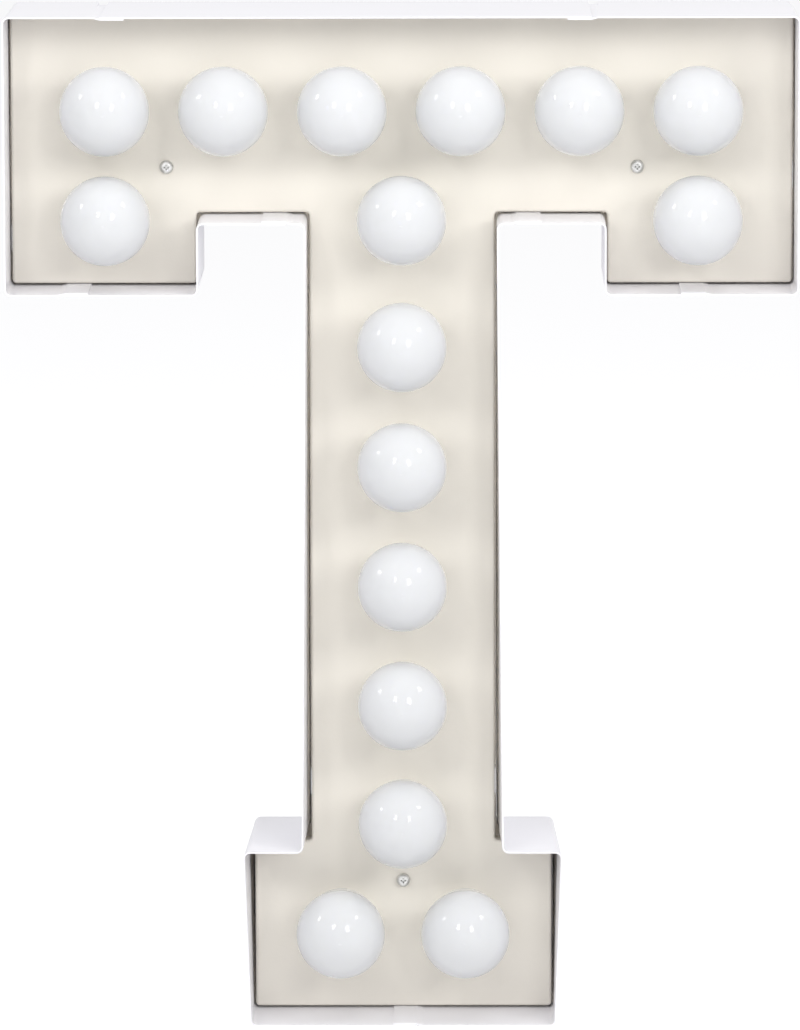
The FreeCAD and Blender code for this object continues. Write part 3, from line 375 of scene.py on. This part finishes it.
def bulb_axis(number):
    """Where a bulb's axis meets the front of the face panel."""
    centre = middle(f"globe_{number:02d}")
    return Vector((centre.x, panel_front(), centre.z))


def panel_front():
    """The depth of the face panel's front."""
    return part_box("face_panel")[0][1]


def pan_back():
    """The depth of the back pan's outside."""
    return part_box("back_pan")[1][1]


def screw_places():
    """Where the three face screws stand, left, right and foot."""
    low, high = (Vector(corner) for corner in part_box("face_screws"))
    radius = bpy.context.scene.letter_fixings.head_radius
    upper = high.z - radius
    foot = low.z + radius
    return [(low.x + radius, upper), (high.x - radius, upper), ((low.x + high.x) / 2, foot)]


# Sides of every round piece that is modelled here
ROUND_SIDES = 48

# Shares of a screw: how much of its head is domed, and how its shank's end is narrowed
DOME_SHARE, DOME_STEPS = 0.72, 6
POINT_INSET_SHARE, POINT_LENGTH_SHARE = 0.3, 1 / 3

# What a slot of the cross recess keeps of its length, width and height at its floor
RECESS_FLOOR_SHARES = (0.35, 0.55, 1)


def model_screw(finish):
    """A pan head screw, modelled along +Z with the underside of its head at the origin."""
    sizes = bpy.context.scene.letter_fixings
    start_clean()
    bpy.ops.mesh.primitive_cylinder_add(
        vertices=ROUND_SIDES, radius=sizes.head_radius, depth=sizes.head_height,
        location=(0, 0, sizes.head_height / 2),
    )
    screw = bpy.context.object
    screw.name = "pan_head_screw"
    bpy.ops.object.transform_apply(location=True, rotation=True, scale=True)
    bpy.ops.object.mode_set(mode="EDIT")
    margin = sizes.head_height / 100
    select_faces(screw, lambda face: face.center.z > sizes.head_height - margin)
    bpy.ops.mesh.bevel(
        offset=sizes.head_height * DOME_SHARE, segments=DOME_STEPS, affect="EDGES", profile=0.5,
    )
    select_faces(screw, lambda face: face.center.z < margin)
    bpy.ops.mesh.inset(thickness=sizes.head_radius - sizes.shank_radius, depth=0)
    bpy.ops.mesh.extrude_region_move(
        TRANSFORM_OT_translate={"value": (0, 0, -sizes.shank_length)}
    )
    bpy.ops.mesh.inset(thickness=sizes.shank_radius * POINT_INSET_SHARE, depth=0)
    bpy.ops.transform.translate(value=(0, 0, -sizes.shank_radius * POINT_LENGTH_SHARE))
    bpy.ops.object.mode_set(mode="OBJECT")
    for turn in (0, 90):
        cut_recess_slot(screw, sizes, turn)
    smooth(screw)
    screw.data.materials.clear()
    screw.data.materials.append(finish)
    return screw


def cut_recess_slot(screw, sizes, turn):
    """One tapered slot of the cross recess, cut with a wedge that narrows downwards."""
    start_clean()
    bpy.ops.mesh.primitive_cube_add(size=1, location=(0, 0, 0))
    wedge = bpy.context.object
    wedge.data.transform(Matrix.Diagonal((
        2 * sizes.recess_reach, sizes.recess_width, 2 * sizes.recess_depth, 1,
    )))
    wedge.data.transform(Matrix.Translation((0, 0, sizes.head_height)))
    bpy.ops.object.mode_set(mode="EDIT")
    select_faces(wedge, lambda face: face.normal.z < -0.5)
    bpy.ops.transform.resize(value=RECESS_FLOOR_SHARES)
    bpy.ops.object.mode_set(mode="OBJECT")
    wedge.data.transform(Matrix.Rotation(math.radians(turn), 4, "Z"))
    modifier(screw, "BOOLEAN", "recess", operation="DIFFERENCE", object=wedge, solver="EXACT")
    discard(wedge)


# Outline of a bulb's cap, from its rim to its tip: depth behind the panel, radius, in mm
RIM_OUTLINE = [(0, 6.35), (0, 7.2), (0.3, 7.35), (0.9, 7.3), (1.2, 6.95), (1.7, 6.4)]
THREAD_START, THREAD_END = 1.7, 15.4
TAIL_OUTLINE = [(16.2, 6.3), (17.4, 6.25), (18.4, 5.9), (18.9, 5.4)]
INSULATOR_OUTLINE = [(19.1, 5.2), (20.4, 4.6), (22.2, 3.4), (22.6, 2.6)]
TIP_OUTLINE = [(22.8, 2.5), (24.6, 2.45), (25.2, 1.9), (25.48, 1.0)]
RINGS_PER_TURN = 8


def cap_rings(sizes):
    """Rings of the whole cap, as pairs of depth and radius in metres."""
    step = sizes.thread_pitch / MM / RINGS_PER_TURN
    count = int((THREAD_END - THREAD_START) / step)
    thread = [(THREAD_START + step * (i + 1), sizes.thread_root / MM) for i in range(count)]
    outline = RIM_OUTLINE + thread + TAIL_OUTLINE + INSULATOR_OUTLINE + TIP_OUTLINE
    return [(depth * MM, radius * MM) for depth, radius in outline]


def raise_thread(cap, sizes):
    """Moves the thread's points out along a helix, fading in and out at its two ends."""
    first, last = THREAD_START * MM, THREAD_END * MM
    fade = sizes.thread_pitch / 2
    reach = (sizes.thread_crest - sizes.thread_root) / 2
    for point in cap.data.vertices:
        depth = -point.co.z
        if not first < depth < last:
            continue
        phase = depth / sizes.thread_pitch * math.tau - math.atan2(point.co.y, point.co.x)
        strength = min(1, (depth - first) / fade, (last - depth) / fade)
        scale = 1 + reach * strength * (1 + math.cos(phase)) / sizes.thread_root
        point.co.x *= scale
        point.co.y *= scale


def model_cap(shell, insulator, tip):
    """A bulb's screw cap, modelled along -Z from its rim at the origin."""
    sizes = bpy.context.scene.letter_caps
    rings = cap_rings(sizes)
    start_clean()
    bpy.ops.mesh.primitive_circle_add(
        vertices=ROUND_SIDES, radius=rings[0][1], fill_type="NGON",
        location=(0, 0, -rings[0][0]),
    )
    cap = bpy.context.object
    cap.name = "screw_cap"
    bpy.ops.object.transform_apply(location=True, rotation=True, scale=True)
    bpy.ops.object.mode_set(mode="EDIT")
    bpy.ops.mesh.select_mode(type="FACE")
    bpy.ops.mesh.select_all(action="SELECT")
    for before, after in zip(rings, rings[1:]):
        fall = before[0] - after[0]
        bpy.ops.mesh.extrude_region_move(TRANSFORM_OT_translate={"value": (0, 0, fall)})
        ratio = after[1] / before[1]
        bpy.ops.transform.resize(value=(ratio, ratio, 1))
    bpy.ops.mesh.select_all(action="SELECT")
    bpy.ops.mesh.normals_make_consistent(inside=False)
    bpy.ops.object.mode_set(mode="OBJECT")
    raise_thread(cap, sizes)
    for finish in (shell, insulator, tip):
        cap.data.materials.append(finish)
    insulator_from, tip_from = INSULATOR_OUTLINE[0][0] * MM, TIP_OUTLINE[0][0] * MM
    for face in cap.data.polygons:
        depth = -face.center.z
        face.material_index = int(depth > insulator_from) + int(depth > tip_from)
    smooth(cap, 50)
    return cap


# The operators, one for each piece or group of like pieces

class LETTER_OT_sheet_metal(bpy.types.Operator):
    """Paints the side walls and the back pan white"""
    bl_idname = "letter.sheet_metal"
    bl_label = "Sheet metal body"

    def execute(self, context):
        finishes = context.scene.letter_finishes
        # Baked white powder coat on bent steel strip, cooler in tone than the panel's
        coat = powder_coat("powder_coated_white_steel", finishes.wall_colour, finishes.peel_size)
        walls = [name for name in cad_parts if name.startswith("return_")]
        dress(coat, "back_pan", *walls)
        return {"FINISHED"}


class LETTER_OT_face_panel(bpy.types.Operator):
    """Paints the recessed face panel cream"""
    bl_idname = "letter.face_panel"
    bl_label = "Face panel"

    def execute(self, context):
        finishes = context.scene.letter_finishes
        # Baked cream powder coat on the folded tray, with the walls' satin shine
        coat = powder_coat("powder_coated_cream_steel", finishes.panel_colour, finishes.peel_size)
        dress(coat, "face_panel")
        return {"FINISHED"}


class LETTER_OT_globes(bpy.types.Operator):
    """Gives the bulbs their opal glass"""
    bl_idname = "letter.globes"
    bl_label = "Opal globes"

    def execute(self, context):
        glass = opal_glass("blown_opal_glass", context.scene.letter_finishes.glass_colour)
        dress(glass, *[f"globe_{number:02d}" for number in BULB_NUMBERS])
        return {"FINISHED"}


class LETTER_OT_caps(bpy.types.Operator):
    """Models the threaded cap of every bulb"""
    bl_idname = "letter.caps"
    bl_label = "Screw caps"

    def execute(self, context):
        # Nickel plate on drawn brass, a warm bright grey
        shell = plated_metal("nickel_plated_brass_cap", linear("#CFCBC2"), 0.18, 0.30)
        # Black glass pressed in hot, glossy and nearly without grain
        insulator = moulded("pressed_black_glass", linear("#1B1A1D"), 0.12, 1 * MM, 0.004 * MM)
        # Solder that set as a drop, a duller silver than the shell
        tip = plated_metal("lead_free_solder", linear("#B9B9B6"), 0.35, 0.5)
        cap = model_cap(shell, insulator, tip)
        turn = facing_front()
        for number in BULB_NUMBERS:
            move = Matrix.Translation(bulb_axis(number)) @ turn
            label = f"{number:02d}"
            copy_to(
                cap, f"threaded_cap_{label}", move, f"bulb_{label}", "cap_metal",
                f"cap_{label}",
            )
        discard(cap)
        return {"FINISHED"}


class LETTER_OT_holders(bpy.types.Operator):
    """Gives the lampholders, their rings, shells and contacts their finish"""
    bl_idname = "letter.holders"
    bl_label = "Lampholders"

    def execute(self, context):
        # Moulded white urea, harder and shinier than common plastic
        urea = moulded("moulded_white_urea", linear("#F0EFEA"), 0.22, 1.5 * MM, 0.01 * MM)
        dress(urea, "lampholder_bodies", "shade_rings")
        # Deep drawn brass sheet, bright where the bulb rubs it
        brass = plated_metal("drawn_brass", linear("#C9A55A"), 0.24, 0.38)
        dress(brass, "screw_shells", "centre_contacts")
        return {"FINISHED"}


class LETTER_OT_screws(bpy.types.Operator):
    """Models the pan head screws in the face panel and in the back pan"""
    bl_idname = "letter.screws"
    bl_label = "Pan head screws"

    def execute(self, context):
        # Bright zinc on steel, cold grey with a light rim
        zinc = plated_metal("zinc_plated_steel", linear("#DCDCDA"), 0.34, 0.46)
        screw = model_screw(zinc)
        facing_back = Matrix.Rotation(math.pi, 4, "Z") @ facing_front()
        gather_screws(screw, "face_screws", panel_front(), facing_front())
        gather_screws(screw, "back_screws", pan_back(), facing_back)
        discard(screw)
        dress(zinc, "panel_pillars", "earth_stud", "earth_lug")
        return {"FINISHED"}


def gather_screws(screw, node, depth, way):
    """One object of the three screws that a CAD node holds."""
    start_clean()
    copies = []
    for x, z in screw_places():
        twin = own_copy(screw, Matrix.Translation((x, depth, z)) @ way)
        twin.select_set(True)
        copies.append(twin)
    bpy.context.view_layer.objects.active = copies[0]
    bpy.ops.object.join()
    joined = bpy.context.object
    joined.name = f"cross_{node}"
    joined.data.name = joined.name
    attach(joined, "letter")
    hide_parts(node)


class LETTER_OT_clips(bpy.types.Operator):
    """Gives the panel's edge clips their bright strip steel"""
    bl_idname = "letter.clips"
    bl_label = "Edge clips"

    def execute(self, context):
        # Rolled spring steel, neutral grey and bright
        strip = plated_metal("bright_spring_strip", linear("#C8C8C9"), 0.2, 0.32)
        dress(strip, "edge_clips")
        return {"FINISHED"}


class LETTER_OT_wiring(bpy.types.Operator):
    """Gives the wires inside their coloured insulation"""
    bl_idname = "letter.wiring"
    bl_label = "Wiring"

    def execute(self, context):
        # Soft insulation drawn over the wire, half matt and smooth
        brown = moulded("extruded_brown_insulation", linear("#5A3620"), 0.42, 1 * MM, 0.004 * MM)
        blue = moulded("extruded_blue_insulation", linear("#2A5AA8"), 0.42, 1 * MM, 0.004 * MM)
        dress(brown, "live_wires")
        dress(blue, "neutral_wires")
        dress(striped_insulation("extruded_striped_insulation"), "earth_wire")
        return {"FINISHED"}


class LETTER_OT_entry(bpy.types.Operator):
    """Gives the grommet, the terminal block and the earth nut their finish"""
    bl_idname = "letter.entry"
    bl_label = "Mains entry"

    def execute(self, context):
        # Moulded rubber, matt with a fine grain
        rubber = moulded("moulded_grey_rubber", linear("#D4D3CF"), 0.62, 0.8 * MM, 0.02 * MM)
        # Moulded nylon, a silky off-white
        nylon = moulded("moulded_nylon", linear("#EDECE6"), 0.38, 1 * MM, 0.01 * MM)
        # Brass turned on a lathe, yellow and bright
        brass = plated_metal("turned_brass", linear("#C7A052"), 0.22, 0.34)
        dress(rubber, "cable_grommet")
        dress(nylon, "terminal_block")
        dress(brass, "terminal_screws", "earth_nut")
        return {"FINISHED"}


# The stage

# Each lamp's name, its azimuth and its rise above the view in degrees, its distance, width
# and height in metres, its power in watts, and whether shiny surfaces show it
LAMPS = [
    ("softbox_left", -20, 16.5, 2.4, 0.3, 0.56, 4.7, True),
    ("softbox_right", 19, 11.5, 2.4, 0.4, 0.68, 6.2, True),
    ("front_near", 4, 22, 1.1, 0.5, 0.4, 1.1, False),
    ("side_left", -48, 12, 2.6, 0.6, 0.7, 8.6, False),
    ("side_right", 48, 12, 2.6, 0.6, 0.7, 13.4, False),
    ("high_left", -35, 50, 1.5, 0.5, 0.5, 2.8, False),
    ("high_right", 35, 50, 1.5, 0.5, 0.5, 3.4, False),
    ("point_left", -77, 25.5, 3.0, 0.4, 0.4, 3.5, True),
    ("point_right", 64, 35.4, 3.0, 0.46, 0.46, 5, True),
]

# Pairs of neighbouring bulbs that have a glow halfway between them, behind the face panel
GLOW_PAIRS = [
    (1, 2), (2, 3), (3, 4), (4, 5), (5, 6), (1, 7), (6, 9),
    (8, 10), (10, 11), (11, 12), (12, 13), (13, 14), (15, 16),
]
GLOW_RADIUS = 4 * MM


class LETTER_OT_stage(bpy.types.Operator):
    """Sets up the floor, the soft light and the camera"""
    bl_idname = "letter.stage"
    bl_label = "Stage"

    def execute(self, context):
        settings = context.scene.letter_stage
        add_floor(settings)
        add_surroundings(settings)
        for lamp in LAMPS:
            add_lamp(*lamp)
        for first, second in GLOW_PAIRS:
            add_glow(bulb_axis(first), bulb_axis(second), settings.glow_power)
        add_camera(settings)
        context.scene.view_settings.view_transform = "Standard"
        return {"FINISHED"}


def seen_directly(tree):
    """1 for rays from the camera and for those that mirrors or glass pass on."""
    rays = add_node(tree, "ShaderNodeLightPath")
    first = add_node(tree, "ShaderNodeMath", {
        0: rays.outputs["Is Camera Ray"], 1: rays.outputs["Is Glossy Ray"],
    }, operation="MAXIMUM")
    both = add_node(tree, "ShaderNodeMath", {
        0: first.outputs["Value"], 1: rays.outputs["Is Transmission Ray"],
    }, operation="MAXIMUM")
    return both.outputs["Value"]


def add_floor(settings):
    """A pale seamless floor that shows white and still takes a soft shadow."""
    start_clean()
    bpy.ops.mesh.primitive_plane_add(size=settings.floor_size, location=(0, 0, 0))
    floor = bpy.context.object
    floor.name = "studio_floor"
    material, tree, shader = new_finish("matt_white_paper", Roughness=0.9)
    shader.inputs["Base Color"].default_value = (*linear("#F4F4F4"), 1)
    shader.inputs["Specular IOR Level"].default_value = 0.0
    shader.inputs["Emission Color"].default_value = (1, 1, 1, 1)
    lift = add_node(tree, "ShaderNodeMath", {
        0: seen_directly(tree), 1: settings.floor_lift,
    }, operation="MULTIPLY")
    tree.links.new(lift.outputs["Value"], shader.inputs["Emission Strength"])
    floor.data.materials.append(material)


def add_surroundings(settings):
    """Even light from all round, and plain white where the camera looks past the object."""
    world = bpy.data.worlds.new("studio")
    bpy.context.scene.world = world
    world.use_nodes = True
    tree = world.node_tree
    tree.nodes.clear()
    lighting = add_node(tree, "ShaderNodeBackground", {
        "Color": (*linear("#FCFCFF"), 1), "Strength": settings.ambient,
    })
    backdrop = add_node(tree, "ShaderNodeBackground", {"Color": (1, 1, 1, 1), "Strength": 1.0})
    mixed = add_node(tree, "ShaderNodeMixShader", {
        "Fac": seen_directly(tree), 1: lighting.outputs["Background"],
        2: backdrop.outputs["Background"],
    })
    add_node(tree, "ShaderNodeOutputWorld", {"Surface": mixed.outputs["Shader"]})


def look_at(place, target):
    """The matrix of a lamp at a place that shines at a target."""
    turn = (target - place).to_track_quat("-Z", "Y")
    return Matrix.Translation(place) @ turn.to_matrix().to_4x4()


def add_lamp(name, azimuth, rise, distance, width, height, power, in_gloss):
    """One rectangular soft light round the middle of the letter."""
    dip = bpy.context.scene.letter_stage.camera_dip
    low, high = (Vector(corner) for corner in CAD_BOX)
    target = (low + high) / 2
    side, up = math.radians(azimuth), math.radians(rise) + dip
    away = Vector((math.sin(side) * math.cos(up), -math.cos(side) * math.cos(up), math.sin(up)))
    data = bpy.data.lights.new(name, "AREA")
    data.shape = "RECTANGLE"
    data.size, data.size_y = width, height
    data.energy = power
    lamp = bpy.data.objects.new(name, data)
    bpy.context.scene.collection.objects.link(lamp)
    lamp.matrix_world = look_at(target + away * distance, target)
    lamp.visible_glossy = in_gloss


def add_glow(first_bulb, second_bulb, power):
    """A weak unseen light in the hollow behind the panel, for what daylight leaks in there."""
    place = (first_bulb + second_bulb) / 2
    place.y = (panel_front() + pan_back()) / 2
    data = bpy.data.lights.new("leaked_light", "POINT")
    data.energy = power
    data.color = linear("#FFF8E6")
    data.shadow_soft_size = GLOW_RADIUS
    glow = bpy.data.objects.new("leaked_light", data)
    bpy.context.scene.collection.objects.link(glow)
    glow.matrix_world = Matrix.Translation(place)
    glow.visible_camera = False
    glow.visible_glossy = False


def add_camera(settings):
    """A long lens in front of the letter that looks a little down on it."""
    data = bpy.data.cameras.new("front_view")
    data.sensor_fit = "VERTICAL"
    data.sensor_height = 36
    data.lens = settings.lens
    data.clip_end = 100
    camera = bpy.data.objects.new("front_view", data)
    bpy.context.scene.collection.objects.link(camera)
    place = Vector((settings.camera_side, -settings.camera_distance, settings.camera_height))
    upright = Matrix.Rotation(math.radians(90) - settings.camera_dip, 4, "X")
    turned = Matrix.Rotation(settings.camera_turn, 4, "Z") @ upright
    rolled = turned @ Matrix.Rotation(-settings.camera_roll, 4, "Z")
    camera.matrix_world = Matrix.Translation(place) @ rolled
    bpy.context.scene.camera = camera


STEPS = [
    LETTER_OT_sheet_metal, LETTER_OT_face_panel, LETTER_OT_globes, LETTER_OT_caps,
    LETTER_OT_holders, LETTER_OT_screws, LETTER_OT_clips, LETTER_OT_wiring,
    LETTER_OT_entry, LETTER_OT_stage,
]


class VIEW3D_PT_letter(bpy.types.Panel):
    """Lists the steps that dress the letter, with their settings"""
    bl_label = "Light-up letter"
    bl_space_type = "VIEW_3D"
    bl_region_type = "UI"
    bl_category = "Letter"

    def draw(self, context):
        for step in STEPS:
            self.layout.operator(step.bl_idname)
        for name, group in SETTINGS.items():
            box = self.layout.box()
            for key in group.__annotations__:
                box.prop(getattr(context.scene, name), key)


SETTINGS = {
    "letter_finishes": LetterFinishes,
    "letter_fixings": LetterFixings,
    "letter_caps": LetterCaps,
    "letter_stage": LetterStage,
}
CLASSES = [*SETTINGS.values(), *STEPS, VIEW3D_PT_letter]


def register():
    for each in CLASSES:
        bpy.utils.register_class(each)
    for name, group in SETTINGS.items():
        setattr(bpy.types.Scene, name, bpy.props.PointerProperty(type=group))


def unregister():
    for name in SETTINGS:
        delattr(bpy.types.Scene, name)
    for each in reversed(CLASSES):
        bpy.utils.unregister_class(each)


def main():
    register()
    bpy.ops.letter.sheet_metal()
    bpy.ops.letter.face_panel()
    bpy.ops.letter.globes()
    bpy.ops.letter.caps()
    bpy.ops.letter.holders()
    bpy.ops.letter.screws()
    bpy.ops.letter.clips()
    bpy.ops.letter.wiring()
    bpy.ops.letter.entry()
    bpy.ops.letter.stage()


if __name__ == "__main__":
    main()
